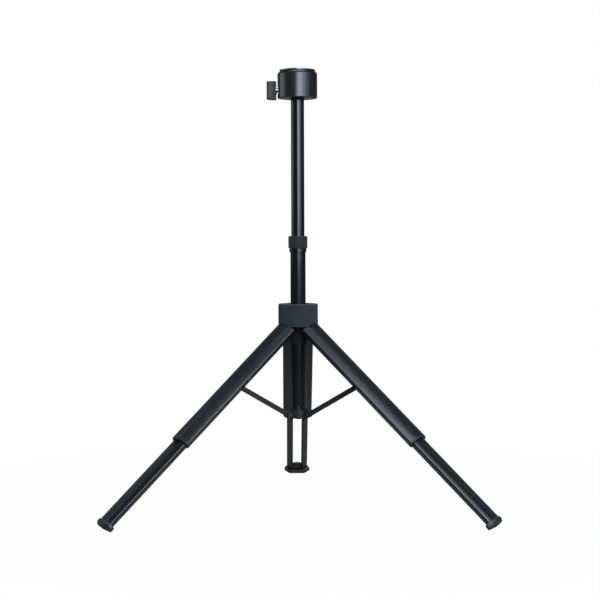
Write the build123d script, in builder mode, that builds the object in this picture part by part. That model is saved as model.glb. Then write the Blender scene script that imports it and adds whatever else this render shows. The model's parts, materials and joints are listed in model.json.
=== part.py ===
"""Portable projector stand on three folding legs: a telescoping mast, a sliding hub, legs with struts, and a head
with a turning disc. Millimetres, +Z up, floor at Z 0, leg 1 towards +Y and the thumb knob towards -X."""
import math
import os

from build123d import *

os.makedirs("parts", exist_ok=True)

# Mast
tube_od = 22.0
tube_wall = 1.1
slide_gap = 0.3
end_gap = 0.4
mast_wall = 1.2
tube_foot_z = 134.0
collar_top_z = 392.7
collar_h = 17.8
collar_wall = 2.5
collar_lip = 4.3
ring_h = 5.4
ring_wall = 1.35
head_bottom_z = 591.0
mast_overlap = 50.0
mast_seat = 14.0

# Hub
hub_r = 28.6
hub_top_z = 295.0
hub_bottom_z = 263.0
hub_sleeve_z = 236.8
hub_sleeve_wall = 1.1
recess_gap = 4.2
recess_depth = 15.0
edge = 0.8

# Legs, drawn upright as when folded: X outwards from the mast, Y across, Z up from the pivot
pivot_depth = 6.4
pivot_z = 264.0
leg_tilt = 48.4
leg_step = 0.2
leg_wall = 1.5
leg_half = 55.0
leg_edge_gap = 1.7
leg_len = 224.0
leg_corner = 2.4
leg_drop = 1.8
mitre_drop = 1.6
knuckle_w = 12.0
knuckle_drop = 6.5
knuckle_gap = 0.6
plug_len = 18.0
plug_depth = 5.0
plug_top = 5.5
lug_w = 4.4
lug_r = 4.2
lug_h = 10.0
lug_gap = 0.7
cheek_gap = 0.5
swing_len = 20.0
swing_up = 35.0
swing_top = 22.0
swing_back = 10.0
swing_low = 5.4
pin_r = 1.75
pin_gap = 0.25
cap_t = 4.5
cap_lip = 1.0
cap_edge = 1.4
guide_len = 14.0
slot_root = 2.0

# Lower legs and feet
rail_step = 2.4
rail_half = 45.7
rail_edge_gap = 1.2
rail_slot = 6.8
rail_gap = 0.35
rail_overlap = 35.0
rail_corner = 2.2
web_t = 4.0
web_step = 4.5
foot_lip = 0.3
foot_half = 56.5
foot_in = 6.8
foot_in_w = 11.0
foot_t = 7.0
foot_facet = 1.5
foot_corner = 1.2

# Struts and the base bracket they pivot on
strut_out = 5.5
strut_z = 135.63
strut_slope = 29.55
strut_h = 6.8
strut_t = 4.0
ear_r = 4.0
ear_t = 2.2
ear_gap = 0.4
eye_r = 4.2
eye_foot = 11.0
eye_root = 4.0
eye_gap = 0.8
base_bottom_z = 132.6
base_top_z = 143.2
base_wall = 1.2
base_gap = 0.6
plug_wall = 1.6
plug_z = 128.4

# Head
head_r = 28.73
head_h = 38.7
head_edge = 1.2
shoulder_in = 2.7
shoulder_h = 3.1
spindle_r = 6.0
spindle_len = 12.0
spindle_end = 1.0
disc_r = 25.8
disc_t = 2.4
disc_edge = 0.5
undercut_in = 3.0
undercut_h = 1.7
pad_step = 3.0
pad_hole_r = 7.0
pad_t = 0.6
thread_r = 3.175
thread_depth = 8.0
screw_up = 12.0
screw_r = 3.0
screw_len = 15.0
neck_r = 5.9
neck_len = 2.4
neck_sink_gap = 2.1
neck_sink = 2.2
knob_h = 27.0
knob_w = 12.9
knob_t = 8.0
knob_taper = 0.6
knob_corner = 2.0
knob_edge = 1.0

# Worked out from the above
through = 100.0
floor_size = 1200.0
tube_r = tube_od / 2
bore_r = tube_r - tube_wall
mast_r = bore_r - slide_gap
base_r = tube_r + base_wall
collar_r = tube_r + slide_gap + collar_wall
recess_r = collar_r + recess_gap
tilt = math.radians(leg_tilt)
ts = math.sin(tilt)
tc = math.cos(tilt)
leg_r = hub_r - leg_step
leg_inner = leg_r - leg_wall
leg_in = base_r + leg_edge_gap
pivot_r = leg_r - pivot_depth
rail_r = leg_inner - rail_step
rail_in = base_r + rail_edge_gap
web_x = rail_r - web_step
foot_r = rail_r + foot_lip
strut_r = tube_r + strut_out
fork_w = strut_t / 2 + ear_gap + ear_t
screw_z = head_bottom_z + screw_up
slope = math.radians(strut_slope)
azimuths = (90, 210, 330)

# The strut meets the leg where its line crosses the line of leg brackets
off_x = pivot_r + (strut_r - pivot_r) * tc
off_z = pivot_z + (strut_r - pivot_r) * ts
gap_x = strut_r - off_x
gap_z = strut_z - off_z
cross = ts * -math.sin(slope) - (-tc) * -math.cos(slope)
bracket_t = (gap_x * -math.sin(slope) - gap_z * -math.cos(slope)) / cross
strut_len = (ts * gap_z - (-tc) * gap_x) / cross
fold_travel = strut_z - (pivot_z - bracket_t - strut_len)
foot_end = (pivot_z + (foot_in - pivot_r) * ts) / tc + foot_facet
foot_top = foot_end - foot_t
cap_end = leg_len + cap_t
rail_top = leg_len - rail_overlap

leg_u = Vector(math.cos(math.radians(leg_half)), math.sin(math.radians(leg_half)))
leg_n = Vector(leg_u.Y, -leg_u.X)
inner_rho = math.sqrt(leg_inner**2 - leg_wall**2)
knuckle_x = math.sqrt(leg_r**2 - knuckle_w**2)
plug_x = math.sqrt(leg_inner**2 - knuckle_w**2)
swing_u = Vector(math.cos(math.radians(swing_up)), math.sin(math.radians(swing_up)))
rail_u = Vector(math.cos(math.radians(rail_half)), math.sin(math.radians(rail_half)))
rail_mid = (math.degrees(math.asin(rail_slot / rail_r)) + rail_half) / 2

# Lower tube of the mast
with BuildPart() as lower_tube:
    with BuildSketch(Plane.XY.offset(tube_foot_z)):
        Circle(tube_r)
        Circle(bore_r, mode=Mode.SUBTRACT)
    extrude(amount=collar_top_z - collar_lip - end_gap - tube_foot_z)

# Ring fixed under the twist collar
collar_bottom_z = collar_top_z - collar_h
ring_z = collar_bottom_z - slide_gap - ring_h
with BuildPart() as collar_sleeve:
    with BuildSketch(Plane.XY.offset(ring_z)):
        Circle(tube_r + ring_wall)
        Circle(tube_r, mode=Mode.SUBTRACT)
    extrude(amount=ring_h)

# Twist collar that clamps the upper tube
with BuildPart() as twist_collar:
    with BuildSketch(Plane.XZ):
        with BuildLine():
            Polyline(
                (tube_r + slide_gap, collar_bottom_z),
                (collar_r - edge, collar_bottom_z),
                (collar_r, collar_bottom_z + edge),
                (collar_r, collar_top_z - edge),
                (collar_r - edge, collar_top_z),
                (mast_r + slide_gap, collar_top_z),
                (mast_r + slide_gap, collar_top_z - collar_lip),
                (tube_r + slide_gap, collar_top_z - collar_lip),
                close=True,
            )
        make_face()
    revolve(axis=Axis.Z)

# Upper tube, held in the head and sliding in the lower tube
with BuildPart() as upper_tube:
    with BuildSketch(Plane.XY.offset(collar_top_z - mast_overlap)):
        Circle(mast_r)
        Circle(mast_r - mast_wall, mode=Mode.SUBTRACT)
    extrude(amount=head_bottom_z + mast_seat - collar_top_z + mast_overlap)

# Bracket at the mast's lower end, with a domed plug under it and a pair of ears for each strut
with BuildPart() as base_bracket:
    plug_r = base_r - plug_wall
    plug_low = base_bottom_z - plug_z
    dome_r = (plug_r**2 + plug_low**2) / (2 * plug_low)
    dome_half = math.asin(plug_r / dome_r) / 2
    dome_mid = (dome_r * math.sin(dome_half), plug_z + dome_r * (1 - math.cos(dome_half)))
    with BuildSketch(Plane.XZ):
        with BuildLine():
            ThreePointArc((0, plug_z), dome_mid, (plug_r, base_bottom_z))
            Polyline(
                (plug_r, base_bottom_z),
                (base_r, base_bottom_z),
                (base_r, base_top_z),
                (tube_r, base_top_z),
                (tube_r, tube_foot_z),
                (0, tube_foot_z),
                (0, plug_z),
            )
        make_face()
    revolve(axis=Axis.Z)
    for az in azimuths:
        side = Plane(Location((0, 0, strut_z), (0, 0, az)) * Plane.XZ.location)
        with BuildSketch(side):
            with Locations(((tube_r + strut_r) / 2, 0)):
                Rectangle(strut_r - tube_r, 2 * ear_r)
            with Locations((strut_r, 0)):
                Circle(ear_r)
        extrude(amount=fork_w, both=True)
    for az in azimuths:
        slot_x = tube_r + end_gap + through / 2
        with Locations(Location((0, 0, strut_z), (0, 0, az)) * Location((slot_x, 0, 0))):
            Box(through, strut_t + 2 * ear_gap, through, mode=Mode.SUBTRACT)

# Shape that a leg's knuckle turns in, cut from the hub
with BuildPart() as notch:
    reach = leg_r + knuckle_gap
    notch_w = knuckle_w + knuckle_gap
    notch_x = math.sqrt(reach**2 - notch_w**2)
    with BuildSketch(Plane.XY):
        with BuildLine():
            Line((pivot_r, notch_w), (pivot_r, -notch_w))
            Line((pivot_r, -notch_w), (notch_x, -notch_w))
            ThreePointArc((notch_x, -notch_w), (reach, 0), (notch_x, notch_w))
            Line((notch_x, notch_w), (pivot_r, notch_w))
        make_face()
    revolve(axis=Axis((pivot_r, 0, 0), (0, 1, 0)))
    with BuildSketch(Plane(origin=(pivot_r, 0, 0), x_dir=(tc, 0, ts), z_dir=(-ts, 0, tc))):
        with BuildLine():
            Line((0, notch_w), (0, -notch_w))
            Line((0, -notch_w), (notch_x - pivot_r, -notch_w))
            ThreePointArc((notch_x - pivot_r, -notch_w), (reach - pivot_r, 0), (notch_x - pivot_r, notch_w))
            Line((notch_x - pivot_r, notch_w), (0, notch_w))
        make_face()
    extrude(amount=-2 * knuckle_drop)

# Lug of the hub that carries a leg's pin, between the cheeks of the knuckle
with BuildPart() as lug:
    with BuildSketch(Plane.XZ):
        with Locations((pivot_r, 0)):
            Circle(lug_r)
        with Locations((pivot_r - lug_r, lug_h / 2)):
            Rectangle(2 * lug_r, lug_h)
    extrude(amount=lug_w, both=True)

# Hub that slides on the lower tube
with BuildPart() as hub:
    with BuildSketch(Plane.XZ):
        with BuildLine():
            Polyline(
                (tube_r + slide_gap, hub_sleeve_z),
                (tube_r + slide_gap + hub_sleeve_wall, hub_sleeve_z),
                (tube_r + slide_gap + hub_sleeve_wall, hub_bottom_z),
                (hub_r, hub_bottom_z),
                (hub_r, hub_top_z - edge),
                (hub_r - edge, hub_top_z),
                (recess_r + edge, hub_top_z),
                (recess_r, hub_top_z - edge),
                (recess_r, hub_top_z - recess_depth),
                (tube_r + slide_gap, hub_top_z - recess_depth),
                close=True,
            )
        make_face()
    revolve(axis=Axis.Z)
    for az in azimuths:
        add(Location((0, 0, pivot_z), (0, 0, az)) * notch.part, mode=Mode.SUBTRACT)
    for az in azimuths:
        add(Location((0, 0, pivot_z), (0, 0, az)) * lug.part)
    for az in azimuths:
        with Locations(Location((0, 0, pivot_z), (0, 0, az)) * Location((pivot_r, 0, 0), (90, 0, 0))):
            Cylinder(pin_r, 2 * lug_w, mode=Mode.SUBTRACT)

# Pin through the lug and the two cheeks
with BuildPart() as hub_pin:
    with Locations(Location((pivot_r, 0, 0), (90, 0, 0))):
        Cylinder(pin_r, 2 * (knuckle_w - end_gap))

# Upper leg: a channel that is a third of a tube, open towards the mast
with BuildPart() as upper_leg:
    with BuildSketch(Plane.XY.offset(-leg_len)):
        with BuildLine():
            a1 = leg_u * leg_r
            a2 = leg_u * leg_in
            b1 = leg_u * inner_rho + leg_n * leg_wall
            b2 = leg_u * leg_in + leg_n * leg_wall
            ThreePointArc((a1.X, -a1.Y), (leg_r, 0), (a1.X, a1.Y))
            Polyline((a1.X, a1.Y), (a2.X, a2.Y), (b2.X, b2.Y), (b1.X, b1.Y))
            ThreePointArc((b1.X, b1.Y), (leg_inner, 0), (b1.X, -b1.Y))
            Polyline((b1.X, -b1.Y), (b2.X, -b2.Y), (a2.X, -a2.Y), (a1.X, -a1.Y))
        make_face()
    extrude(amount=leg_len - leg_drop)
    outer = upper_leg.edges().filter_by(Axis.Z).group_by(lambda e: e.center().X**2 + e.center().Y**2)
    fillet(outer[-1], leg_corner)
    with Locations((pivot_r, 0, 0)):
        Box(through, 2 * knuckle_w, 2 * knuckle_drop, mode=Mode.SUBTRACT)
    mitre = Plane(origin=(pivot_r - mitre_drop * ts, 0, -mitre_drop * tc), x_dir=(0, 1, 0), z_dir=(ts, 0, tc))
    with BuildSketch(mitre):
        with Locations((knuckle_w + through / 2, 0), (-knuckle_w - through / 2, 0)):
            Rectangle(through, through)
    extrude(amount=through, mode=Mode.SUBTRACT)

# Knuckle at the leg's upper end, plugged into the channel
with BuildPart() as leg_root:
    with BuildSketch(Plane.XY):
        with BuildLine():
            Line((pivot_r, knuckle_w), (pivot_r, -knuckle_w))
            Line((pivot_r, -knuckle_w), (knuckle_x, -knuckle_w))
            ThreePointArc((knuckle_x, -knuckle_w), (leg_r, 0), (knuckle_x, knuckle_w))
            Line((knuckle_x, knuckle_w), (pivot_r, knuckle_w))
        make_face()
    revolve(axis=Axis((pivot_r, 0, 0), (0, 1, 0)))
    with BuildSketch(Plane.XY.offset(-knuckle_drop)):
        with BuildLine():
            Line((pivot_r, knuckle_w), (pivot_r, -knuckle_w))
            Line((pivot_r, -knuckle_w), (knuckle_x, -knuckle_w))
            ThreePointArc((knuckle_x, -knuckle_w), (leg_r, 0), (knuckle_x, knuckle_w))
            Line((knuckle_x, knuckle_w), (pivot_r, knuckle_w))
        make_face()
    extrude(amount=knuckle_drop)
    with BuildSketch(Plane.XY.offset(-plug_len)):
        with BuildLine():
            Line((pivot_r - plug_depth, knuckle_w), (pivot_r - plug_depth, -knuckle_w))
            Line((pivot_r - plug_depth, -knuckle_w), (plug_x, -knuckle_w))
            ThreePointArc((plug_x, -knuckle_w), (leg_inner, 0), (plug_x, knuckle_w))
            Line((plug_x, knuckle_w), (pivot_r - plug_depth, knuckle_w))
        make_face()
    extrude(amount=plug_len - plug_top)
    with BuildSketch(Plane.XZ):
        with BuildLine():
            Polyline(
                (pivot_r, 0),
                (pivot_r + swing_len * swing_u.X, swing_len * swing_u.Y),
                (pivot_r, swing_top),
                (pivot_r - swing_len, swing_back),
                (pivot_r - swing_len, -swing_low),
                close=True,
            )
        make_face()
        with Locations((pivot_r, 0)):
            Circle(lug_r + lug_gap)
    extrude(amount=lug_w + cheek_gap, both=True, mode=Mode.SUBTRACT)
    with Locations(Location((pivot_r, 0, 0), (90, 0, 0))):
        Cylinder(pin_r + pin_gap, through, mode=Mode.SUBTRACT)

# Bracket inside the leg that the strut's outer end turns in
with BuildPart() as strut_bracket:
    with BuildSketch(Plane.XZ):
        with BuildLine():
            Polyline(
                (strut_r, -bracket_t - eye_r),
                (leg_inner - eye_root, -bracket_t - eye_foot),
                (leg_r, -bracket_t - eye_foot),
                (leg_r, -bracket_t + eye_foot),
                (leg_inner - eye_root, -bracket_t + eye_foot),
                (strut_r, -bracket_t + eye_r),
                close=True,
            )
        make_face()
        with Locations((strut_r, -bracket_t)):
            Circle(eye_r)
    extrude(amount=fork_w, both=True)
    with Locations((0, 0, -bracket_t)):
        Cylinder(leg_inner, through, mode=Mode.INTERSECT)
    with Locations((strut_r + strut_h / 2 + eye_gap - through / 2, 0, -bracket_t)):
        Box(through, strut_t + 2 * ear_gap, through, mode=Mode.SUBTRACT)
    with Locations(Location((strut_r, 0, -bracket_t), (90, 0, 0))):
        Cylinder(pin_r, through, mode=Mode.SUBTRACT)

# Pin of that bracket
with BuildPart() as strut_pin:
    with Locations(Location((strut_r, 0, -bracket_t), (90, 0, 0))):
        Cylinder(pin_r, 2 * fork_w)

# Strut, drawn from the base pivot outwards along X
with BuildPart() as strut:
    with BuildSketch(Plane.XZ):
        with Locations((strut_len / 2, 0)):
            SlotCenterToCenter(strut_len, strut_h)
        with Locations((0, 0), (strut_len, 0)):
            Circle(pin_r + pin_gap, mode=Mode.SUBTRACT)
    extrude(amount=strut_t / 2, both=True)

# Lower leg: two rails joined at the foot
with BuildPart() as lower_leg:
    with BuildSketch(Plane.XY.offset(-foot_top)) as rails:
        with BuildLine():
            r1 = (math.sqrt(rail_r**2 - rail_slot**2), rail_slot)
            r2 = rail_u * rail_r
            r3 = rail_u * rail_in
            r4 = (math.sqrt(rail_in**2 - rail_slot**2), rail_slot)
            rm = (rail_r * math.cos(math.radians(rail_mid)), rail_r * math.sin(math.radians(rail_mid)))
            ThreePointArc(r1, rm, (r2.X, r2.Y))
            Polyline((r2.X, r2.Y), (r3.X, r3.Y), r4, r1)
        make_face()
        mirror(about=Plane.XZ)
    extrude(amount=foot_top - rail_top)
    fillet(lower_leg.edges().filter_by(Axis.Z).group_by(lambda e: abs(e.center().Y))[-1], rail_corner)
    fillet(lower_leg.edges().filter_by(Axis.Z).group_by(lambda e: e.center().X)[-1], edge)
    with BuildSketch(Plane.XY.offset(-foot_top)):
        with Locations(((r4[0] + web_x) / 2, 0)):
            Rectangle(web_x - r4[0], 2 * rail_slot)
    extrude(amount=web_t)

# Cap at the upper leg's lower end, guiding the rails
with BuildPart() as leg_cap:
    with BuildSketch(Plane.XY.offset(-cap_end)):
        with BuildLine():
            c1 = leg_u * leg_r
            c2 = leg_u * (leg_in - cap_lip)
            ThreePointArc((c1.X, -c1.Y), (leg_r, 0), (c1.X, c1.Y))
            Polyline((c1.X, c1.Y), (c2.X, c2.Y), (c2.X, -c2.Y), (c1.X, -c1.Y))
        make_face()
    extrude(amount=cap_t)
    fillet(leg_cap.edges().filter_by(Axis.Z), leg_corner)
    fillet(leg_cap.faces().sort_by(Axis.Z)[0].edges(), cap_edge)
    with BuildSketch(Plane.XY.offset(-leg_len)):
        with BuildLine():
            g1 = leg_u * inner_rho + leg_n * leg_wall
            g2 = leg_u * leg_in + leg_n * leg_wall
            ThreePointArc((g1.X, -g1.Y), (leg_inner, 0), (g1.X, g1.Y))
            Polyline((g1.X, g1.Y), (g2.X, g2.Y), (g2.X, -g2.Y), (g1.X, -g1.Y))
        make_face()
    extrude(amount=guide_len)
    with BuildSketch(Plane.XY.offset(-cap_end)):
        with BuildLine():
            ThreePointArc(r1, rm, (r2.X, r2.Y))
            Polyline((r2.X, r2.Y), (r3.X, r3.Y), r4, r1)
        make_face()
        offset(amount=rail_gap, kind=Kind.INTERSECTION)
        mirror(about=Plane.XZ)
    extrude(amount=cap_t + guide_len, mode=Mode.SUBTRACT)
    with Locations((0, 0, -leg_len)):
        Cylinder(base_r + base_gap, through, mode=Mode.SUBTRACT)
        with Locations((rail_r - slot_root - through / 2, 0, guide_len / 2)):
            Box(through, 2 * rail_slot + end_gap, guide_len, mode=Mode.SUBTRACT)

# Foot, cut flat where it stands on the floor
with BuildPart() as foot:
    with BuildSketch(Plane.XY.offset(-foot_end)):
        with BuildLine():
            f1 = (foot_r * math.cos(math.radians(foot_half)), foot_r * math.sin(math.radians(foot_half)))
            ThreePointArc((f1[0], -f1[1]), (foot_r, 0), f1)
            Polyline(f1, (foot_in, foot_in_w), (foot_in, -foot_in_w), (f1[0], -f1[1]))
        make_face()
    extrude(amount=foot_t)
    fillet(foot.edges().filter_by(Axis.Z), foot_corner)
    chamfer(foot.faces().sort_by(Axis.Z)[-1].edges(), edge)
    ground = Plane(origin=(pivot_r - pivot_z * ts, 0, -pivot_z * tc), x_dir=(0, 1, 0), z_dir=(-ts, 0, -tc))
    with BuildSketch(ground):
        Rectangle(floor_size, floor_size)
    extrude(amount=through, mode=Mode.SUBTRACT)

# Head
head_top_z = head_bottom_z + head_h
with BuildPart() as head_body:
    with BuildSketch(Plane.XZ):
        with BuildLine():
            Polyline(
                (mast_r, head_bottom_z),
                (head_r - head_edge, head_bottom_z),
                (head_r, head_bottom_z + head_edge),
                (head_r, head_top_z - shoulder_h),
                (head_r - shoulder_in, head_top_z),
                (spindle_r + slide_gap, head_top_z),
                (spindle_r + slide_gap, head_top_z - spindle_len - spindle_end),
                (0, head_top_z - spindle_len - spindle_end),
                (0, head_bottom_z + mast_seat),
                (mast_r, head_bottom_z + mast_seat),
                close=True,
            )
        make_face()
    revolve(axis=Axis.Z)
    with Locations(Location((-head_r, 0, screw_z), (0, 90, 0))):
        Cylinder(screw_r + slide_gap, 2 * (screw_len + spindle_end), mode=Mode.SUBTRACT)
        Cylinder(neck_r + neck_sink_gap, 2 * neck_sink, mode=Mode.SUBTRACT)

# Turning disc on the head
disc_z = head_top_z + slide_gap
with BuildPart() as top_disc:
    with BuildSketch(Plane.XZ):
        with BuildLine():
            Polyline(
                (0, head_top_z - spindle_len),
                (spindle_r, head_top_z - spindle_len),
                (spindle_r, disc_z),
                (disc_r - undercut_in, disc_z),
                (disc_r, disc_z + undercut_h),
                (disc_r - disc_edge, disc_z + disc_t),
                (0, disc_z + disc_t),
                close=True,
            )
        make_face()
    revolve(axis=Axis.Z)
    with Locations((0, 0, disc_z + disc_t)):
        Cylinder(thread_r, 2 * thread_depth, mode=Mode.SUBTRACT)

# Pad on the disc
with BuildPart() as top_pad:
    with BuildSketch(Plane.XY.offset(disc_z + disc_t)):
        Circle(disc_r - pad_step)
        Circle(pad_hole_r, mode=Mode.SUBTRACT)
    extrude(amount=pad_t)

# Clamp screw and its thumb knob
neck_x = -head_r - end_gap
knob_x = neck_x - neck_len
with BuildPart() as clamp_screw:
    with Locations(Location((neck_x, 0, screw_z), (0, 90, 0))):
        Cylinder(screw_r, screw_len, align=(Align.CENTER, Align.CENTER, Align.MIN))
        Cylinder(neck_r, neck_len, align=(Align.CENTER, Align.CENTER, Align.MAX))

with BuildPart() as thumb_knob:
    with BuildSketch(Plane.XZ):
        with BuildLine():
            Polyline(
                (knob_x, screw_z - knob_h / 2),
                (knob_x, screw_z + knob_h / 2),
                (knob_x - knob_w, screw_z + knob_h / 2 - knob_taper),
                (knob_x - knob_w, screw_z - knob_h / 2 + knob_taper),
                close=True,
            )
        make_face()
    extrude(amount=knob_t / 2, both=True)
    fillet(thumb_knob.edges().filter_by(Axis.Y), knob_corner)
    fillet(thumb_knob.faces().filter_by(Axis.Y).edges(), knob_edge)

# Place the three legs, then centre the stand's outline on the origin
solo = {
    "lower_tube": lower_tube,
    "collar_sleeve": collar_sleeve,
    "twist_collar": twist_collar,
    "upper_tube": upper_tube,
    "base_bracket": base_bracket,
    "hub": hub,
    "head_body": head_body,
    "top_disc": top_disc,
    "top_pad": top_pad,
    "clamp_screw": clamp_screw,
    "thumb_knob": thumb_knob,
}
on_leg = {
    "upper_leg": upper_leg,
    "leg_root": leg_root,
    "leg_cap": leg_cap,
    "strut_bracket": strut_bracket,
    "strut_pin": strut_pin,
    "lower_leg": lower_leg,
    "foot": foot,
}
placed = {name: made.part for name, made in solo.items()}
for k, az in enumerate(azimuths, start=1):
    upright = Location((0, 0, pivot_z), (0, 0, az))
    open_out = upright * Location((pivot_r, 0, 0), (0, -leg_tilt, 0)) * Location((-pivot_r, 0, 0))
    for name, made in on_leg.items():
        placed[f"{name}_{k}"] = open_out * made.part
    placed[f"hub_pin_{k}"] = upright * hub_pin.part
    on_base = Location((0, 0, strut_z), (0, 0, az)) * Location((strut_r, 0, 0), (0, -strut_slope, 0))
    placed[f"strut_{k}"] = on_base * strut.part

reach_y = [placed[f"foot_{k}"].bounding_box() for k in (1, 2, 3)]
mast_y = -(max(b.max.Y for b in reach_y) + min(b.min.Y for b in reach_y)) / 2
for name, shape in placed.items():
    shape = Location((0, mast_y, 0)) * shape
    shape.label = name
    export_step(shape, f"parts/{name}.step")
print("mast_y", round(mast_y, 3), "bracket_t", round(bracket_t, 3), "strut_len", round(strut_len, 3))
print("fold_travel", round(fold_travel, 3), "foot_end", round(foot_end, 3), "cap_end", cap_end)
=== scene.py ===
"""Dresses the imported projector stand: every piece's finish, the small fittings, the studio, the camera."""

import json
import math

import bmesh
import bpy
from mathutils import Euler, Matrix, Vector


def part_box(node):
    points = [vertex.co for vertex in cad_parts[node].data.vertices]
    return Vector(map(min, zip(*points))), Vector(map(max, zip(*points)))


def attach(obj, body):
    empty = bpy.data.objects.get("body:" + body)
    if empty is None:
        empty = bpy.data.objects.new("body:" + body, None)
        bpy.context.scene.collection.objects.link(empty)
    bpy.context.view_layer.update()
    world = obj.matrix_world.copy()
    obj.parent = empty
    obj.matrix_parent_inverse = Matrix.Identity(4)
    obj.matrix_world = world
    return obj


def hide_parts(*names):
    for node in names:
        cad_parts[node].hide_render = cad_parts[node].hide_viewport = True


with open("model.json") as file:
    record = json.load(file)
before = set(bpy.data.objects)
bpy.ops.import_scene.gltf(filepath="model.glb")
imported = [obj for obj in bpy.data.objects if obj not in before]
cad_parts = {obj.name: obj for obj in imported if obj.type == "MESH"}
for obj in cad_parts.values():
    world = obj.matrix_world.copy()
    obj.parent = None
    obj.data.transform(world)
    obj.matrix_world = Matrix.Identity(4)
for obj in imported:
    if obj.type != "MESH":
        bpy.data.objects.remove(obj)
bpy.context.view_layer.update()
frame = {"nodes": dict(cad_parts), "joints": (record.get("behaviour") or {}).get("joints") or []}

# Lower mast tube: a drawn aluminium tube, black anodised and polished. It stands in the base bracket,
# and the hub slides on it. Drawing leaves fine lines along it, and handling leaves dull patches.
tube_low, tube_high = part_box("lower_tube")
tube_radius = (tube_high.x - tube_low.x) / 2
mast_y = (tube_low.y + tube_high.y) / 2
mast_axis = Vector((0, mast_y, 0))
upright = Vector((0, 0, 1))


def place(tree, kind, inputs=None, **settings):
    """Puts a node in a tree. An input given as a socket is linked, and any other value is set."""
    made = tree.nodes.new(kind)
    for key, value in settings.items():
        setattr(made, key, value)
    for key, value in (inputs or {}).items():
        if isinstance(value, bpy.types.NodeSocket):
            tree.links.new(value, made.inputs[key])
        else:
            made.inputs[key].default_value = value
    return made


def reckon(tree, operation, one, two=0.0):
    """Works out a value from one or two others."""
    return place(tree, "ShaderNodeMath", {0: one, 1: two}, operation=operation).outputs[0]


def spread(tree, value, start, end, low, high, easing="LINEAR"):
    """Turns a value that goes from start to end into one that goes from low to high."""
    inputs = {"Value": value, "From Min": start, "From Max": end, "To Min": low, "To Max": high}
    return place(tree, "ShaderNodeMapRange", inputs, interpolation_type=easing).outputs[0]


def noise(tree, point, scale, detail):
    """Gives a cloudy value between 0 and 1."""
    inputs = {"Vector": point, "Scale": scale, "Detail": detail}
    return place(tree, "ShaderNodeTexNoise", inputs).outputs[0]


def shade(tree, mask, dark, light):
    """Mixes two colours by a mask."""
    mixed = place(tree, "ShaderNodeMix", {0: mask, 6: (*dark, 1), 7: (*light, 1)}, data_type="RGBA")
    return mixed.outputs[2]


def effect(name, sizes):
    """Starts a shader node group that puts out a height and patches, and gives it with its end nodes."""
    group = bpy.data.node_groups.new(name, "ShaderNodeTree")
    group.interface.new_socket("Vector", in_out="INPUT", socket_type="NodeSocketVector")
    for label, value in sizes.items():
        socket = group.interface.new_socket(label, in_out="INPUT", socket_type="NodeSocketFloat")
        socket.default_value = value
    for label in ("Height", "Patches"):
        group.interface.new_socket(label, in_out="OUTPUT", socket_type="NodeSocketFloat")
    return group, group.nodes.new("NodeGroupInput"), group.nodes.new("NodeGroupOutput")


def new_finish(name, specular=0.5, metallic=0.0):
    """Starts a material and gives it with its tree, its shader and the piece's own coordinates."""
    finish = bpy.data.materials.new(name)
    finish.use_nodes = True
    tree = finish.node_tree
    shader = tree.nodes["Principled BSDF"]
    shader.inputs["Specular IOR Level"].default_value = specular
    shader.inputs["Metallic"].default_value = metallic
    return finish, tree, shader, place(tree, "ShaderNodeTexCoord").outputs["Object"]


def dress(name, group, sizes, dark, light, dull, depth, specular=0.5, metallic=0.0, turn=None):
    """Makes a finish of an effect. Turn gives the place and the angles of a piece's own axes."""
    finish, tree, shader, point = new_finish(name, specular, metallic)
    if turn:
        own_axes = {"Vector": point, "Location": turn[0], "Rotation": turn[1]}
        point = place(tree, "ShaderNodeMapping", own_axes, vector_type="TEXTURE").outputs[0]
    skin = place(tree, "ShaderNodeGroup", {"Vector": point, **sizes}, node_tree=group)
    patches = skin.outputs["Patches"]
    cloud_low, cloud_high, relief_share = 0.3, 0.7, 0.6
    tree.links.new(shade(tree, patches, dark, light), shader.inputs["Base Color"])
    tree.links.new(spread(tree, patches, cloud_low, cloud_high, *dull), shader.inputs["Roughness"])
    relief = {"Height": skin.outputs["Height"], "Distance": depth, "Strength": relief_share}
    tree.links.new(place(tree, "ShaderNodeBump", relief).outputs[0], shader.inputs["Normal"])
    return finish


def wear(finish, *nodes):
    """Gives CAD nodes their finish."""
    for name in nodes:
        mesh = frame["nodes"][name].data
        mesh.materials.clear()
        mesh.materials.append(finish)


drawn_lines, line_in, line_out = effect("drawn lines", {"Lines per Metre": 3000.0, "Stretch": 0.01})
line_point, line_count = line_in.outputs["Vector"], line_in.outputs["Lines per Metre"]
line_step = reckon(drawn_lines, "MULTIPLY", line_count, line_in.outputs["Stretch"])
line_scale = place(drawn_lines, "ShaderNodeCombineXYZ", {0: line_count, 1: line_count, 2: line_step})
line_drawn = place(
    drawn_lines, "ShaderNodeVectorMath", {0: line_point, 1: line_scale.outputs[0]}, operation="MULTIPLY"
)
line_height = noise(drawn_lines, line_drawn.outputs[0], scale=1.0, detail=3.0)
line_patches = noise(drawn_lines, line_point, scale=38.0, detail=4.0)
drawn_lines.links.new(line_height, line_out.inputs["Height"])
drawn_lines.links.new(line_patches, line_out.inputs["Patches"])

gloss_tube = dress(
    "gloss tube",
    drawn_lines,
    {"Lines per Metre": 1800.0, "Stretch": 0.004},
    dark=(0.0032, 0.0044, 0.006),
    light=(0.005, 0.0064, 0.0085),
    dull=(0.15, 0.21),
    depth=0.000005,
    specular=0.6,
)
wear(gloss_tube, "lower_tube")

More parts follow.
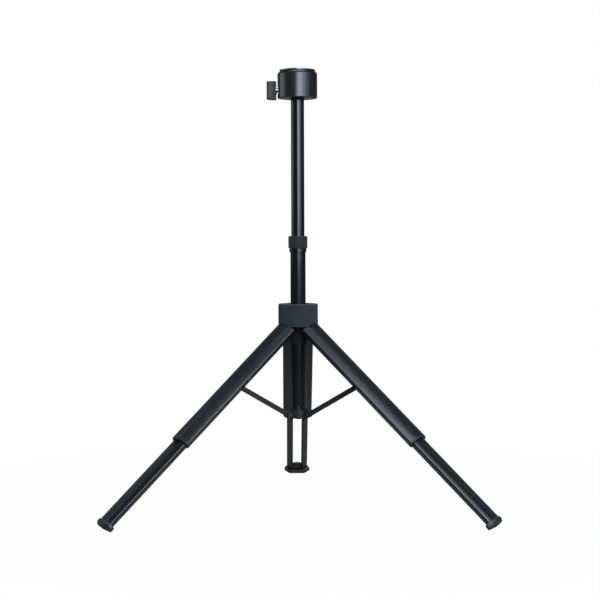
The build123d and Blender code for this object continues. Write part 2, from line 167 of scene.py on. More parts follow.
# Base bracket: a black moulding pressed on the mast's lower end, with a pair of ears for each strut.
# Steel rivets go through the ears, and three small ones through the tube hold the bracket's inside on it.
moulded_grain, grain_in, grain_out = effect("moulded grain", {"Grains per Metre": 2500.0})
grain_point, grain_count = grain_in.outputs["Vector"], grain_in.outputs["Grains per Metre"]
grain_cells = place(moulded_grain, "ShaderNodeTexVoronoi", {"Vector": grain_point, "Scale": grain_count})
grain_fine = noise(moulded_grain, grain_point, scale=grain_count, detail=2.0)
grain_height = reckon(moulded_grain, "ADD", grain_cells.outputs[0], grain_fine)
grain_patches = noise(moulded_grain, grain_point, scale=60.0, detail=5.0)
moulded_grain.links.new(grain_height, grain_out.inputs["Height"])
moulded_grain.links.new(grain_patches, grain_out.inputs["Patches"])

cap_moulding = dress(
    "black moulding",
    moulded_grain,
    {"Grains per Metre": 2600.0},
    dark=(0.0068, 0.0082, 0.0105),
    light=(0.0105, 0.0122, 0.015),
    dull=(0.4, 0.52),
    depth=0.000012,
)
wear(cap_moulding, "base_bracket")

rivet_steel = dress(
    "rivet steel",
    moulded_grain,
    {"Grains per Metre": 5200.0},
    dark=(0.085, 0.085, 0.09),
    light=(0.14, 0.14, 0.145),
    dull=(0.32, 0.46),
    depth=0.000012,
    metallic=1.0,
)


def sized_tree(name, sizes):
    """Starts a Geometry Nodes tree with named sizes and gives it with its end nodes."""
    tree = bpy.data.node_groups.new(name, "GeometryNodeTree")
    tree.interface.new_socket("Geometry", in_out="INPUT", socket_type="NodeSocketGeometry")
    for label, value in sizes.items():
        kind = "NodeSocketInt" if isinstance(value, int) else "NodeSocketFloat"
        tree.interface.new_socket(label, in_out="INPUT", socket_type=kind).default_value = value
    tree.interface.new_socket("Geometry", in_out="OUTPUT", socket_type="NodeSocketGeometry")
    return tree, tree.nodes.new("NodeGroupInput"), tree.nodes.new("NodeGroupOutput")


def close_tree(tree, geometry, finish, end):
    """Ends a tree in smooth, realised faces with their finish."""
    real = place(tree, "GeometryNodeRealizeInstances", {"Geometry": geometry})
    smooth = place(tree, "GeometryNodeSetShadeSmooth", {0: real.outputs[0]})
    painted = place(tree, "GeometryNodeSetMaterial", {"Geometry": smooth.outputs[0], "Material": finish})
    tree.links.new(painted.outputs[0], end.inputs[0])


def grown(name, mesh, tree, sizes, finish, sharp=40.0):
    """Runs a tree on a mesh and keeps what it makes as a plain mesh object."""
    made = bpy.data.objects.new(name, mesh)
    bpy.context.scene.collection.objects.link(made)
    run = made.modifiers.new("grow", "NODES")
    run.node_group = tree
    for item in tree.interface.items_tree:
        if item.in_out == "INPUT" and item.name in sizes:
            run[item.identifier] = sizes[item.name]
    bpy.context.view_layer.update()
    done = made.evaluated_get(bpy.context.evaluated_depsgraph_get())
    plain = bpy.data.meshes.new_from_object(done)
    made.modifiers.clear()
    made.data = plain
    plain.name = name
    plain.materials.clear()
    plain.materials.append(finish)
    plain.set_sharp_from_angle(angle=math.radians(sharp))
    return made


pin_rivet = {"Head Radius": 0.0017, "Head Height": 0.0006}
tube_rivet = {"Head Radius": 0.0012, "Head Height": 0.0004}
head_sides, head_rings = 24, 12
rim_share, dome_share = 0.8, 0.9
rivet_tree, rivet_in, rivet_out = sized_tree("rivet heads", pin_rivet)
rivet_radius, rivet_height = rivet_in.outputs["Head Radius"], rivet_in.outputs["Head Height"]
rim_depth = reckon(rivet_tree, "MULTIPLY", rivet_height, rim_share)
rivet_rim = place(
    rivet_tree,
    "GeometryNodeMeshCylinder",
    {"Vertices": head_sides, "Radius": rivet_radius, "Depth": rim_depth},
)
rivet_ball = place(
    rivet_tree,
    "GeometryNodeMeshUVSphere",
    {"Segments": head_sides, "Rings": head_rings, "Radius": rivet_radius},
)
dome_flat = reckon(rivet_tree, "DIVIDE", rivet_height, rivet_radius)
dome_scale = place(rivet_tree, "ShaderNodeCombineXYZ", {0: dome_share, 1: dome_share, 2: dome_flat})
rivet_dome = place(
    rivet_tree,
    "GeometryNodeTransform",
    {"Geometry": rivet_ball.outputs[0], "Scale": dome_scale.outputs[0]},
)
rivet_head = place(rivet_tree, "GeometryNodeJoinGeometry")
for part in (rivet_rim, rivet_dome):
    rivet_tree.links.new(part.outputs[0], rivet_head.inputs[0])
rivet_facing = place(
    rivet_tree, "GeometryNodeInputNamedAttribute", {"Name": "facing"}, data_type="FLOAT_VECTOR"
)
rivet_turn = place(
    rivet_tree, "FunctionNodeAlignRotationToVector", {"Vector": rivet_facing.outputs[0]}, axis="Z"
)
rivet_set = place(
    rivet_tree,
    "GeometryNodeInstanceOnPoints",
    {
        "Points": rivet_in.outputs["Geometry"],
        "Instance": rivet_head.outputs[0],
        "Rotation": rivet_turn.outputs[0],
    },
)
close_tree(rivet_tree, rivet_set.outputs[0], rivet_steel, rivet_out)


def rivets(name, spots, sizes, body):
    """Sets rivet heads at spots, each a point and the way its head faces."""
    mesh = bpy.data.meshes.new(name + " spots")
    mesh.from_pydata([point for point, way in spots], [], [])
    facing = mesh.attributes.new("facing", "FLOAT_VECTOR", "POINT")
    for spot, (point, way) in zip(facing.data, spots):
        spot.vector = way
    made = grown(name, mesh, rivet_tree, sizes, rivet_steel)
    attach(made, body)


def pin_ends(pin, out):
    """Gives both ends of a pin that lies across a leg's way, where they leave the ears."""
    across = Vector((-out.y, out.x, 0))
    ear_face = 0.0046
    return [(pin + across * side * ear_face, across * side) for side in (1, -1)]


leg_angles = {1: math.radians(90), 2: math.radians(210), 3: math.radians(330)}
leg_ways = {k: Vector((math.cos(a), math.sin(a), 0)) for k, a in leg_angles.items()}
strut_centre, strut_height = 0.0165, 0.13563
ear_spots = []
for out in leg_ways.values():
    ear_spots += pin_ends(mast_axis + out * strut_centre + upright * strut_height, out)
rivets("ear_rivets", ear_spots, pin_rivet, "mast")
rivet_rise = 0.0024
rivet_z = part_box("base_bracket")[1].z + rivet_rise
tube_spots = [(mast_axis - out * tube_radius + upright * rivet_z, -out) for out in leg_ways.values()]
rivets("tube_rivets", tube_spots, tube_rivet, "mast")

# Hub: a dark grey moulding that slides on the lower tube and carries the three legs on pins.
# Its outside has a fine matt grain, and the guide sleeve under it is painted darker as painted shade under
# the hub, between the legs.
hub_moulding = dress(
    "hub moulding",
    moulded_grain,
    {"Grains per Metre": 2400.0},
    dark=(0.021, 0.027, 0.0345),
    light=(0.0265, 0.033, 0.0415),
    dull=(0.68, 0.8),
    depth=0.00002,
    specular=0.2,
)


def measure(finish, way):
    """Gives the X, Y or Z of a finish's point, on the piece's own axes where the finish has them."""
    tree = finish.node_tree
    own = next((n for n in tree.nodes if n.bl_idname == "ShaderNodeMapping"), None)
    point = own.outputs[0] if own else place(tree, "ShaderNodeTexCoord").outputs["Object"]
    return place(tree, "ShaderNodeSeparateXYZ", {0: point}).outputs[way]


def cover(finish, mask, colour, dull=None):
    """Lays a colour, and a roughness where one is given, over a finish by a mask."""
    tree = finish.node_tree
    shader = tree.nodes["Principled BSDF"]
    under = shader.inputs["Base Color"].links[0].from_socket
    laid = place(tree, "ShaderNodeMix", {0: mask, 6: under, 7: (*colour, 1)}, data_type="RGBA")
    tree.links.new(laid.outputs[2], shader.inputs["Base Color"])
    if dull:
        under = shader.inputs["Roughness"].links[0].from_socket
        laid = place(tree, "ShaderNodeMix", {0: mask, 2: under, 3: dull}, data_type="FLOAT")
        tree.links.new(laid.outputs[0], shader.inputs["Roughness"])


# Painted shade: the guide sleeve below the hub's body is mixed towards near black by its height.
sleeve_top, body_foot = 0.2618, 0.263
sleeve_shade_black, sleeve_shade_share = (0.001, 0.0015, 0.0022), 0.8
hub_height = measure(hub_moulding, "Z")
hub_sleeve_shade = spread(hub_moulding.node_tree, hub_height, sleeve_top, body_foot, sleeve_shade_share, 0.0)
cover(hub_moulding, hub_sleeve_shade, sleeve_shade_black)
hub_shader = hub_moulding.node_tree.nodes["Principled BSDF"]
hub_shader.inputs["Diffuse Roughness"].default_value = 1.0
hub_shader.inputs["Sheen Weight"].default_value = 0.03
hub_shader.inputs["Sheen Roughness"].default_value = 0.6
wear(hub_moulding, "hub")
wear(rivet_steel, "hub_pin_1", "hub_pin_2", "hub_pin_3")

# Upper legs: extruded aluminium channels, each a third of a tube, satin black anodised with fine lines
# along their length. Their gloss falls off towards the hub as painted shade from the hub. A black knuckle
# plugged into the top of each turns on the hub's pin.
leg_tilt = math.radians(48.4)
knuckle_radius = 0.022
satin_far, satin_near = -0.13, -0.03
satin_gloss, satin_shaded_gloss = 0.5, 0.3


def joint_spot(name):
    """Gives the point that a joint turns about."""
    return next(Vector(j["pos_m"]) for j in frame["joints"] if j["name"] == name)


leg_axes = {}
for k, out in leg_ways.items():
    inward = -out * math.cos(leg_tilt) - upright * math.sin(leg_tilt)
    leg_place = joint_spot(f"leg_{k}_fold") + inward * knuckle_radius
    leg_axes[k] = (leg_place, (0, -leg_tilt, math.atan2(out.y, out.x)))
    satin_leg = dress(
        f"satin leg {k}",
        drawn_lines,
        {"Lines per Metre": 1800.0, "Stretch": 0.003},
        dark=(0.0062, 0.0082, 0.0108),
        light=(0.009, 0.0115, 0.0148),
        dull=(0.3, 0.37),
        depth=0.0000025,
        turn=leg_axes[k],
    )
    satin_tree = satin_leg.node_tree
    # Painted shade: the specular level drops near the hub, where the hub shades the leg.
    leg_shade_gloss = spread(satin_tree, measure(satin_leg, "Z"), satin_far, satin_near, satin_gloss, satin_shaded_gloss)
    satin_tree.links.new(leg_shade_gloss, satin_tree.nodes["Principled BSDF"].inputs["Specular IOR Level"])
    wear(satin_leg, f"upper_leg_{k}", f"leg_root_{k}")

# Caps: black mouldings pushed into the lower ends of the upper legs, with slots that guide the rails.
# The strut brackets inside the channels are of the same moulding, on steel pins with domed heads.
for k, out in leg_ways.items():
    wear(cap_moulding, f"leg_cap_{k}", f"strut_bracket_{k}")
    wear(rivet_steel, f"strut_pin_{k}")
    rivets(f"bracket_rivets_{k}", pin_ends(joint_spot(f"strut_{k}_fold"), out), pin_rivet, f"leg_{k}")

# Struts: flat aluminium bars with rounded ends, painted matt black.
# Each hangs on the pin of its leg's bracket and reaches in between the ears of the base bracket.
strut_paint = dress(
    "strut paint",
    moulded_grain,
    {"Grains per Metre": 3400.0},
    dark=(0.0095, 0.0115, 0.0138),
    light=(0.014, 0.0165, 0.019),
    dull=(0.48, 0.6),
    depth=0.00001,
)
wear(strut_paint, "strut_1", "strut_2", "strut_3")

# Lower legs: pairs of extruded aluminium rails, glossier than the upper legs, that slide in the caps.
# A black web joins each pair, set back in a slot whose edges are dull and a little paler.
slot_half, slot_lip, web_inset = 0.0068, 0.0002, 0.0003
slot_grey, slot_dull = (0.0195, 0.023, 0.0245), 0.6
web_black, web_dull = (0.002, 0.0024, 0.003), 0.8
for k in leg_ways:
    rail_metal = dress(
        f"rail metal {k}",
        drawn_lines,
        {"Lines per Metre": 1800.0, "Stretch": 0.003},
        dark=(0.0045, 0.006, 0.008),
        light=(0.0068, 0.0086, 0.0112),
        dull=(0.24, 0.3),
        depth=0.000002,
        turn=leg_axes[k],
    )
    rail_tree = rail_metal.node_tree
    rail_side = reckon(rail_tree, "ABSOLUTE", measure(rail_metal, "Y"))
    on_slot = reckon(rail_tree, "LESS_THAN", rail_side, slot_half + slot_lip)
    on_web = reckon(rail_tree, "LESS_THAN", rail_side, slot_half - web_inset)
    cover(rail_metal, on_slot, slot_grey, slot_dull)
    cover(rail_metal, on_web, web_black, web_dull)
    wear(rail_metal, f"lower_leg_{k}")

# Feet: dark rubber plates with soft edges, pressed on the ends of the rails. A rounded bead is moulded
# round the outer side of each: its section is a half ellipse, sunk into the foot, and it thins out
# towards both ends.
foot_rubber = dress(
    "foot rubber",
    moulded_grain,
    {"Grains per Metre": 1500.0},
    dark=(0.0108, 0.0124, 0.0142),
    light=(0.0165, 0.0185, 0.0208),
    dull=(0.42, 0.54),
    depth=0.000008,
    specular=0.55,
)


def soften(finish, radius, samples=8):
    """Rounds the edges of a finish under its grain."""
    tree = finish.node_tree
    edges = place(tree, "ShaderNodeBevel", {"Radius": radius}, samples=samples)
    bump = next(n for n in tree.nodes if n.bl_idname == "ShaderNodeBump")
    tree.links.new(edges.outputs[0], bump.inputs["Normal"])


def as_piece(name, mesh, finish, sharp):
    """Makes a mesh a smooth piece, whose edges are sharp past an angle."""
    mesh.shade_smooth()
    mesh.set_sharp_from_angle(angle=math.radians(sharp))
    mesh.materials.append(finish)
    made = bpy.data.objects.new(name, mesh)
    bpy.context.scene.collection.objects.link(made)
    return made


def skinned(name, rings, finish, sharp, stand=Matrix()):
    """Closes a row of rings of points into a skin, and stands it in its place."""
    skin = bmesh.new()
    loops = [[skin.verts.new(point) for point in ring] for ring in rings]
    for one, two in zip(loops, loops[1:]):
        for i in range(len(one)):
            j = (i + 1) % len(one)
            skin.faces.new((one[i], one[j], two[j], two[i]))
    skin.faces.new(loops[0])
    skin.faces.new(loops[-1])
    bmesh.ops.recalc_face_normals(skin, faces=skin.faces)
    mesh = bpy.data.meshes.new(name)
    skin.to_mesh(mesh)
    skin.free()
    mesh.transform(stand)
    return as_piece(name, mesh, finish, sharp)


soften(foot_rubber, radius=0.0014)
wear(foot_rubber, "foot_1", "foot_2", "foot_3")
lip_radius, lip_along = 0.0248, -0.3781
lip_out, lip_sunk, lip_half_tall = 0.0014, 0.001, 0.0029
lip_half_angle = math.radians(56)
lip_steps, lip_arc = 48, 12
lip_end, lip_taper = 0.1, 6
lip_sections = []
for i in range(lip_steps + 1):
    share = 2 * i / lip_steps - 1
    proud = lip_out * ((1 - share**lip_taper) ** 0.5 * (1 - lip_end) + lip_end)
    way = Vector((math.cos(share * lip_half_angle), math.sin(share * lip_half_angle), 0))
    section = []
    for j in range(lip_arc + 1):
        a = math.pi * (j / lip_arc - 0.5)
        rise = lip_along + lip_half_tall * math.sin(a)
        section.append(way * (lip_radius + proud * math.cos(a)) + upright * rise)
    for side in (1, -1):
        section.append(way * (lip_radius - lip_sunk) + upright * (lip_along + side * lip_half_tall))
    lip_sections.append(section)
for k, (leg_place, leg_turn) in leg_axes.items():
    leg_stand = Matrix.Translation(leg_place) @ Euler(leg_turn).to_matrix().to_4x4()
    foot_lip = skinned(f"foot_lip_{k}", lip_sections, foot_rubber, sharp=50.0, stand=leg_stand)
    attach(foot_lip, f"lower_leg_{k}")

# Upper mast tube: a second polished black tube that slides in the lower one.
# The black ring under the twist collar is pressed on the lower tube, and has the same finish.
wear(gloss_tube, "upper_tube", "collar_sleeve")

# Twist collar: a plain dark grey moulding on the lower tube's top, with a fine matt grain and soft edges.
# It turns a quarter to clamp the upper tube.
collar_moulding = dress(
    "collar moulding",
    moulded_grain,
    {"Grains per Metre": 2400.0},
    dark=(0.017, 0.0188, 0.0232),
    light=(0.0212, 0.0232, 0.0283),
    dull=(0.68, 0.8),
    depth=0.00002,
    specular=0.2,
)
collar_shader = collar_moulding.node_tree.nodes["Principled BSDF"]
collar_shader.inputs["Sheen Weight"].default_value = 0.2
collar_shader.inputs["Sheen Roughness"].default_value = 0.4
soften(collar_moulding, radius=0.0016)
wear(collar_moulding, "twist_collar")

# Head: a turned aluminium body on the upper tube, satin black. The lathe leaves fine rings, so its lines
# run round and not along it. At the foot of its shoulder, under the disc, a band of almost no gloss is
# painted shade, and the shoulder above it is less glossy, as painted shade too.
head_gloss, under_disc_shade_gloss, shoulder_shade_gloss = 0.72, 0.02, 0.22
turned_metal = dress(
    "turned head",
    drawn_lines,
    {"Lines per Metre": 60.0, "Stretch": 60.0},
    dark=(0.0062, 0.008, 0.0108),
    light=(0.0092, 0.0114, 0.0148),
    dull=(0.27, 0.32),
    depth=0.000006,
    specular=head_gloss,
)
head_low, head_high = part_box("head_body")
shoulder_tall, shade_band_tall = 0.0031, 0.0013
shade_band_blend, shoulder_blend = 0.0003, 0.0004
shade_band_foot = head_high.z - shoulder_tall
shade_band_top = shade_band_foot + shade_band_tall
head_tree = turned_metal.node_tree
head_height = measure(turned_metal, "Z")
# Painted shade: a band of almost no gloss at the shoulder's foot, and lower gloss on the shoulder above it.
below = spread(head_tree, head_height, shade_band_foot - shade_band_blend, shade_band_foot, head_gloss, under_disc_shade_gloss)
above = spread(head_tree, head_height, shade_band_top, shade_band_top + shoulder_blend, 0.0, shoulder_shade_gloss)
head_tree.links.new(
    reckon(head_tree, "ADD", below, above),
    head_tree.nodes["Principled BSDF"].inputs["Specular IOR Level"],
)
wear(turned_metal, "head_body")

# Neck ring: a thin black ring on the upper tube, pushed up against the head's underside.
# It is a dark piece put there as painted shade under the head, and stays clear of the twist collar.
shade_ring_black = dress(
    "shade ring black",
    moulded_grain,
    {"Grains per Metre": 3000.0},
    dark=(0.002, 0.0025, 0.0032),
    light=(0.0035, 0.0042, 0.0052),
    dull=(0.5, 0.62),
    depth=0.000008,
    specular=0.22,
)


def lathe(name, profile, finish, origin, axis, steps=96, sharp=35.0):
    """Turns a profile of radius and length pairs about an axis, as on a lathe."""
    merge = 0.000001
    turned = bmesh.new()
    rings = []
    for radius, along in profile:
        if radius == 0:
            rings.append([turned.verts.new((0, 0, along))])
            continue
        ring = []
        for i in range(steps):
            a = 2 * math.pi * i / steps
            ring.append(turned.verts.new((radius * math.cos(a), radius * math.sin(a), along)))
        rings.append(ring)
    for one, two in zip(rings, rings[1:]):
        for i in range(steps):
            j = (i + 1) % steps
            corners = [one[i % len(one)], one[j % len(one)], two[j % len(two)], two[i % len(two)]]
            unique = list(dict.fromkeys(corners))
            if len(unique) > 2:
                turned.faces.new(unique)
    bmesh.ops.remove_doubles(turned, verts=turned.verts, dist=merge)
    bmesh.ops.recalc_face_normals(turned, faces=turned.faces)
    mesh = bpy.data.meshes.new(name)
    turned.to_mesh(mesh)
    turned.free()
    mesh.transform(Matrix.Translation(origin) @ axis.to_track_quat("Z", "Y").to_matrix().to_4x4())
    return as_piece(name, mesh, finish, sharp)


mast_radius = (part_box("upper_tube")[1].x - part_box("upper_tube")[0].x) / 2
ring_tall, ring_wall = 0.0028, 0.0004
ring_edge, ring_chamfer = 0.0003, 0.0002
ring_outer = mast_radius + ring_wall
ring_profile = [
    (mast_radius, -ring_tall),
    (ring_outer - ring_chamfer, -ring_tall),
    (ring_outer, ring_edge - ring_tall),
    (ring_outer, 0),
    (mast_radius, 0),
    (mast_radius, -ring_tall),
]
# This near-black ring is painted shade: it stands in for the head's shadow on the tube.
head_shade_ring = lathe("head_shade_ring", ring_profile, shade_ring_black, mast_axis + upright * head_low.z, upright)
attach(head_shade_ring, "upper_mast")

# Turning disc: a plate with a rolled rim on a spindle in the head, turned from the same metal and left
# brighter, with a hole in the middle for the camera thread.
disc_metal = dress(
    "turned disc",
    drawn_lines,
    {"Lines per Metre": 60.0, "Stretch": 60.0},
    dark=(0.02, 0.0222, 0.0255),
    light=(0.0265, 0.029, 0.0325),
    dull=(0.24, 0.3),
    depth=0.000012,
    specular=1.0,
)
disc_low, disc_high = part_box("top_disc")
disc_radius = (disc_high.x - disc_low.x) / 2
disc_gap = 0.0003
disc_under = head_high.z + disc_gap
hole_radius, hole_deep = 0.003175, 0.008
spindle_radius = 0.006
rim_roll, rim_mid = 0.0004, 0.0001
under_roll, under_mid, under_slope = 0.0005, 0.0003, 0.003
disc_profile = [
    (0, disc_high.z - hole_deep),
    (hole_radius, disc_high.z - hole_deep),
    (hole_radius, disc_high.z),
    (disc_radius - rim_roll, disc_high.z),
    (disc_radius - rim_mid, disc_high.z - rim_mid),
    (disc_radius, disc_high.z - rim_roll),
    (disc_radius, disc_under + under_roll),
    (disc_radius - under_mid, disc_under + under_mid),
    (disc_radius - under_slope, disc_under),
    (spindle_radius, disc_under),
    (spindle_radius, disc_low.z),
    (0, disc_low.z),
]
disc = lathe("disc_plate", disc_profile, disc_metal, mast_axis, upright, steps=160)
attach(disc, "disc")
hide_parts("top_disc")

# Pad on the disc: a thin black rubber ring, glued on the disc's top round the camera thread.
# It is ribbed in rings between two raised rims, so that a projector doesn't slide.
pad_rubber = dress(
    "pad rubber",
    moulded_grain,
    {"Grains per Metre": 2000.0},
    dark=(0.012, 0.0125, 0.013),
    light=(0.019, 0.0195, 0.02),
    dull=(0.55, 0.7),
    depth=0.00004,
)
pad_low, pad_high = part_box("top_pad")
pad_thick = pad_high.z - pad_low.z
pad_outer = (pad_high.x - pad_low.x) / 2
pad_inner = 0.007
pad_rim, pad_edge, pad_groove = 0.001, 0.0002, 0.0004
pad_floor = pad_thick - pad_groove
pad_profile = [
    (pad_inner, 0),
    (pad_inner, pad_thick),
    (pad_inner + pad_rim, pad_thick),
    (pad_inner + pad_rim, pad_floor),
    (pad_outer - pad_rim, pad_floor),
    (pad_outer - pad_rim, pad_thick),
    (pad_outer - pad_edge, pad_thick),
    (pad_outer, pad_thick - pad_edge),
    (pad_outer, 0),
    (pad_inner, 0),
]
pad = lathe("pad_ring", pad_profile, pad_rubber, mast_axis + upright * pad_low.z, upright)
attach(pad, "disc")
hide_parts("top_pad")

rib_sizes = {"Ribs": 7, "First Radius": 0.0095, "Pitch": 0.0018, "Rib Radius": 0.0004}
ring_sides, rib_sides = 96, 8
rib_tree, rib_in, rib_out = sized_tree("ring ribs", rib_sizes)
rib_line = place(rib_tree, "GeometryNodeMeshLine", {"Count": rib_in.outputs["Ribs"], "Offset": (0, 0, 0)})
rib_index = place(rib_tree, "GeometryNodeInputIndex")
rib_step = reckon(rib_tree, "MULTIPLY", rib_index.outputs[0], rib_in.outputs["Pitch"])
rib_radius = reckon(rib_tree, "ADD", rib_step, rib_in.outputs["First Radius"])
rib_scale = place(rib_tree, "ShaderNodeCombineXYZ", {0: rib_radius, 1: rib_radius, 2: 1.0})
rib_circle = place(rib_tree, "GeometryNodeCurvePrimitiveCircle", {"Resolution": ring_sides, "Radius": 1.0})
rib_rings = place(
    rib_tree,
    "GeometryNodeInstanceOnPoints",
    {"Points": rib_line.outputs[0], "Instance": rib_circle.outputs[0], "Scale": rib_scale.outputs[0]},
)
rib_real = place(rib_tree, "GeometryNodeRealizeInstances", {"Geometry": rib_rings.outputs[0]})
rib_round = place(
    rib_tree,
    "GeometryNodeCurvePrimitiveCircle",
    {"Resolution": rib_sides, "Radius": rib_in.outputs["Rib Radius"]},
)
rib_body = place(rib_tree, "GeometryNodeCurveToMesh", {0: rib_real.outputs[0], 1: rib_round.outputs[0]})
close_tree(rib_tree, rib_body.outputs[0], pad_rubber, rib_out)
rib_seed = bpy.data.meshes.new("pad rib seed")
ribs = grown("pad_ribs", rib_seed, rib_tree, rib_sizes, pad_rubber, sharp=60.0)
ribs.data.transform(Matrix.Translation(mast_axis + upright * (pad_high.z - rib_sizes["Rib Radius"])))
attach(ribs, "disc")

# Camera thread: a quarter inch steel thread in the disc's hole, for the screw that holds a projector.
# It is drawn as one rising ridge of a three-cornered section.
thread_sizes = {"Turns": 5.0, "Thread Radius": 0.0031, "Rise": 0.0064, "Ridge": 0.0005}
turn_steps, ridge_corners = 40, 3
thread_tree, thread_in, thread_out = sized_tree("screw thread", thread_sizes)
thread_spiral = place(
    thread_tree,
    "GeometryNodeCurveSpiral",
    {
        "Resolution": turn_steps,
        "Rotations": thread_in.outputs["Turns"],
        "Start Radius": thread_in.outputs["Thread Radius"],
        "End Radius": thread_in.outputs["Thread Radius"],
        "Height": thread_in.outputs["Rise"],
    },
)
thread_ridge = place(
    thread_tree,
    "GeometryNodeCurvePrimitiveCircle",
    {"Resolution": ridge_corners, "Radius": thread_in.outputs["Ridge"]},
)
thread_body = place(
    thread_tree,
    "GeometryNodeCurveToMesh",
    {0: thread_spiral.outputs[0], 1: thread_ridge.outputs[0], "Fill Caps": True},
)
close_tree(thread_tree, thread_body.outputs[0], rivet_steel, thread_out)
thread_seed = bpy.data.meshes.new("thread seed")
thread = grown("camera_thread", thread_seed, thread_tree, thread_sizes, rivet_steel, sharp=25.0)
thread_drop = 0.0074
thread_foot = pad_low.z - thread_drop
thread.data.transform(Matrix.Translation(mast_axis + upright * thread_foot))
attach(thread, "disc")

# Clamp screw: a bright polished steel shank with a rolled collar at its outer end.
# It is screwed into the head's side and turns with the thumb knob.
polished_shank = dress(
    "polished shank",
    drawn_lines,
    {"Lines per Metre": 900.0, "Stretch": 1.0},
    dark=(0.24, 0.245, 0.255),
    light=(0.3, 0.305, 0.315),
    dull=(0.16, 0.22),
    depth=0.000005,
    metallic=1.0,
)
screw_low, screw_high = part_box("clamp_screw")
screw_length = screw_high.x - screw_low.x
screw_radius, screw_point = 0.003, 0.0005
neck_radius = (screw_high.z - screw_low.z) / 2
neck_length = 0.0024
neck_roll, front_roll, front_rise = 0.0007, 0.0006, 0.0005
shank_profile = [
    (0, 0),
    (neck_radius - front_roll, 0),
    (neck_radius, front_rise),
    (neck_radius, neck_length - neck_roll),
    (neck_radius - neck_roll, neck_length),
    (screw_radius, neck_length),
    (screw_radius, screw_length - screw_point),
    (screw_radius - screw_point, screw_length),
    (0, screw_length),
]
screw_start = Vector((screw_low.x, mast_y, (screw_low.z + screw_high.z) / 2))
shank = lathe("clamp_shank", shank_profile, polished_shank, screw_start, Vector((1, 0, 0)))
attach(shank, "knob")
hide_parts("clamp_screw")

# Thumb knob: a dark grey paddle, moulded on the shank's end. Both its faces are dished for a thumb and a
# finger, its corners are rounded, and its lower half is a little longer than its upper half.
knob_moulding = dress(
    "knob moulding",
    moulded_grain,
    {"Grains per Metre": 2200.0},
    dark=(0.0152, 0.0146, 0.014),
    light=(0.0206, 0.0198, 0.019),
    dull=(0.5, 0.62),
    depth=0.00002,
    specular=0.4,
)
knob_low, knob_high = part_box("thumb_knob")
knob_mid_z = (knob_low.z + knob_high.z) / 2
knob_tall = (knob_high.z - knob_low.z) / 2
knob_thick = (knob_high.y - knob_low.y) / 2
knob_extra = 0.0012
knob_wide = knob_high.x - knob_low.x + knob_extra
knob_sides = 64
face_round, end_round = 0.45, 0.28
flare_start, flare_grow = 0.04, 0.05
# Each station is its share of the width from the outer end, and its shares of the height and thickness.
stations = [
    (0, 0.8, 0.35),
    (0.012, 0.9, 0.65),
    (0.04, 0.955, 0.85),
    (0.09, 0.975, 0.97),
    (0.18, 0.985, 1.0),
    (0.3, 0.99, 0.9),
    (0.45, 0.993, 0.78),
    (0.6, 0.995, 0.72),
    (0.75, 0.998, 0.75),
    (0.88, 1.0, 0.85),
    (0.95, 0.995, 0.85),
    (0.985, 0.975, 0.75),
    (1.0, 0.93, 0.55),
]
paddle_rings = []
for share, tall, thick in stations:
    ring = []
    for i in range(knob_sides):
        a = 2 * math.pi * i / knob_sides
        c, s = math.cos(a), math.sin(a)
        y = math.copysign(abs(c) ** face_round, c) * knob_thick * thick
        flare = flare_grow * share + flare_start if s < 0 else 0
        z = math.copysign(abs(s) ** end_round, s) * knob_tall * tall * (1 + flare)
        ring.append((knob_low.x + share * knob_wide, mast_y + y, knob_mid_z + z))
    paddle_rings.append(ring)
thumb_paddle = skinned("thumb_paddle", paddle_rings, knob_moulding, sharp=50.0)
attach(thumb_paddle, "knob")
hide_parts("thumb_knob")

# Studio floor: a plain white sheet under the stand, just below its feet. It keeps the stand's soft shadow
# and fades to the white background. Metal sees it dimly, and less of it further out.
floor_half, floor_drop = 6.0, 0.0002
floor_near, floor_far = 0.3, 0.75
floor_white_near = 0.98
mirror_near, mirror_far = 0.5, 1.2
mirror_bright, mirror_dim = 0.1, 0.03
floor_paper, floor_tree, floor_shader, floor_point = new_finish("studio floor", specular=0.0)
floor_shader.inputs["Roughness"].default_value = 0.9
floor_speck = noise(floor_tree, floor_point, scale=300.0, detail=2.0)
floor_colour = shade(floor_tree, floor_speck, (0.1, 0.1, 0.1), (0.12, 0.12, 0.12))
floor_tree.links.new(floor_colour, floor_shader.inputs["Base Color"])
floor_out = place(floor_tree, "ShaderNodeVectorMath", {0: floor_point}, operation="LENGTH").outputs["Value"]
floor_white = spread(floor_tree, floor_out, floor_near, floor_far, floor_white_near, 1.0, "SMOOTHSTEP")
floor_mirror = spread(
    floor_tree, floor_out, mirror_near, mirror_far, mirror_bright, mirror_dim, "SMOOTHSTEP"
)
floor_ray = place(floor_tree, "ShaderNodeLightPath").outputs
floor_clear = reckon(floor_tree, "MAXIMUM", floor_ray["Is Camera Ray"], floor_ray["Is Transmission Ray"])
floor_dim = reckon(floor_tree, "MULTIPLY", floor_ray["Is Glossy Ray"], floor_mirror)
floor_seen = reckon(floor_tree, "MAXIMUM", floor_clear, floor_dim)
floor_share = reckon(floor_tree, "MULTIPLY", floor_white, floor_seen)
floor_glow = place(floor_tree, "ShaderNodeEmission", {"Color": (1, 1, 1, 1), "Strength": 1.0})
floor_mix = place(
    floor_tree,
    "ShaderNodeMixShader",
    {0: floor_share, 1: floor_shader.outputs[0], 2: floor_glow.outputs[0]},
)
floor_tree.links.new(floor_mix.outputs[0], floor_tree.nodes["Material Output"].inputs["Surface"])
floor_corners = [
    (x * floor_half, y * floor_half, -floor_drop) for x, y in ((-1, -1), (1, -1), (1, 1), (-1, 1))
]
floor_mesh = bpy.data.meshes.new("floor")
floor_mesh.from_pydata(floor_corners, [], [(0, 1, 2, 3)])
floor_mesh.materials.append(floor_paper)
floor = bpy.data.objects.new("floor", floor_mesh)
bpy.context.scene.collection.objects.link(floor)

# Studio light: a tall soft box before the stand and a little to the right, two dimmer ones further round
# on that side, one high in front, one overhead and one at the left. A fill behind lights the stand's back
# and shows in no reflection. The room is dim, brighter behind the stand, and white to the camera.


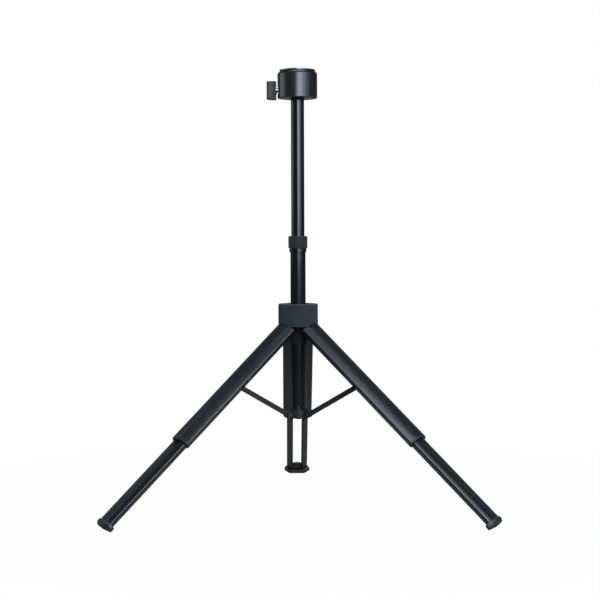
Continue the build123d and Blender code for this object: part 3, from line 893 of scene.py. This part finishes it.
def soft_box(name, spot, wide, tall, radiance, target, colour=(0.89, 1.0, 1.16)):
    """An area lamp of a given size whose face has a given brightness."""
    lamp = bpy.data.lights.new(name, "AREA")
    lamp.shape = "RECTANGLE"
    lamp.size = wide
    lamp.size_y = tall
    lamp.energy = radiance * math.pi * wide * tall
    lamp.color = colour
    made = bpy.data.objects.new(name, lamp)
    made.location = spot
    made.rotation_euler = (target - Vector(spot)).to_track_quat("-Z", "Y").to_euler()
    made.visible_camera = False
    bpy.context.scene.collection.objects.link(made)
    return made


level_aim = mast_axis + upright
high_aim = Vector((0, mast_y - 0.1, 0.2))
overhead_aim = Vector((0.05, mast_y - 0.04, 0))
back_aim = Vector((0, mast_y, 0.4))
high_white = (0.97, 1.0, 1.05)
soft_box("front soft box", (0.38, mast_y - 1.73, 1.035), 0.94, 1.34, 5.9, level_aim)
soft_box("right soft box", (1.08, mast_y - 1.4, 1.035), 0.6, 1.34, 2.4, level_aim)
soft_box("far right soft box", (1.49, mast_y - 0.96, 1.035), 0.62, 1.34, 0.95, level_aim)
soft_box("high soft box", (0.55, mast_y - 1.29, 1.63), 1.6, 0.72, 4.7, high_aim, high_white)
soft_box("overhead soft box", (0.05, mast_y - 0.05, 1.95), 1.0, 0.9, 5.3, overhead_aim)
soft_box("left soft box", (-1.48, mast_y + 0.24, 1.03), 1.0, 1.3, 1.25, level_aim)
back_fill = soft_box("back fill", (0.1, mast_y + 1.8, 1.1), 1.8, 1.4, 5.5, back_aim)
back_fill.visible_glossy = False

room_dim, room_bright = 0.07, 0.5
room_edge, room_middle = 0.8, 0.985
room = bpy.data.worlds.new("studio room")
bpy.context.scene.world = room
room.use_nodes = True
room_tree = room.node_tree
room_way = place(room_tree, "ShaderNodeTexCoord").outputs["Generated"]
room_depth = place(room_tree, "ShaderNodeSeparateXYZ", {0: room_way}).outputs["Y"]
room_back = spread(room_tree, room_depth, room_edge, room_middle, room_dim, room_bright, "SMOOTHSTEP")
room_ray = place(room_tree, "ShaderNodeLightPath").outputs
room_seen = reckon(room_tree, "MAXIMUM", room_ray["Is Camera Ray"], room_ray["Is Transmission Ray"])
room_level = reckon(room_tree, "MAXIMUM", room_back, room_seen)
room_shader = room_tree.nodes["Background"]
room_shader.inputs["Color"].default_value = (1, 1, 1, 1)
room_tree.links.new(room_level, room_shader.inputs["Strength"])

# Camera: level, just above the twist collar's height, two metres before the mast and a little to its left.
# Its lens and shift are given in pixels of a square picture.
picture = 600
lens_pixels, right_pixels, down_pixels = 1433.5, 2.15, 70.65
sensor = 36
camera_distance, camera_height = 2.069, 0.4023
camera_turn, camera_roll = math.radians(0.544), math.radians(0.2)
camera = bpy.data.objects.new("camera", bpy.data.cameras.new("camera"))
bpy.context.scene.collection.objects.link(camera)
camera.location = (
    -camera_distance * math.sin(camera_turn),
    mast_y - camera_distance * math.cos(camera_turn),
    camera_height,
)
camera.rotation_euler = (math.radians(90), camera_roll, -camera_turn)
camera.data.sensor_width = sensor
camera.data.lens = sensor * lens_pixels / picture
camera.data.shift_x = right_pixels / picture
camera.data.shift_y = -down_pixels / picture
bpy.context.scene.camera = camera
bpy.context.scene.view_settings.view_transform = "Standard"
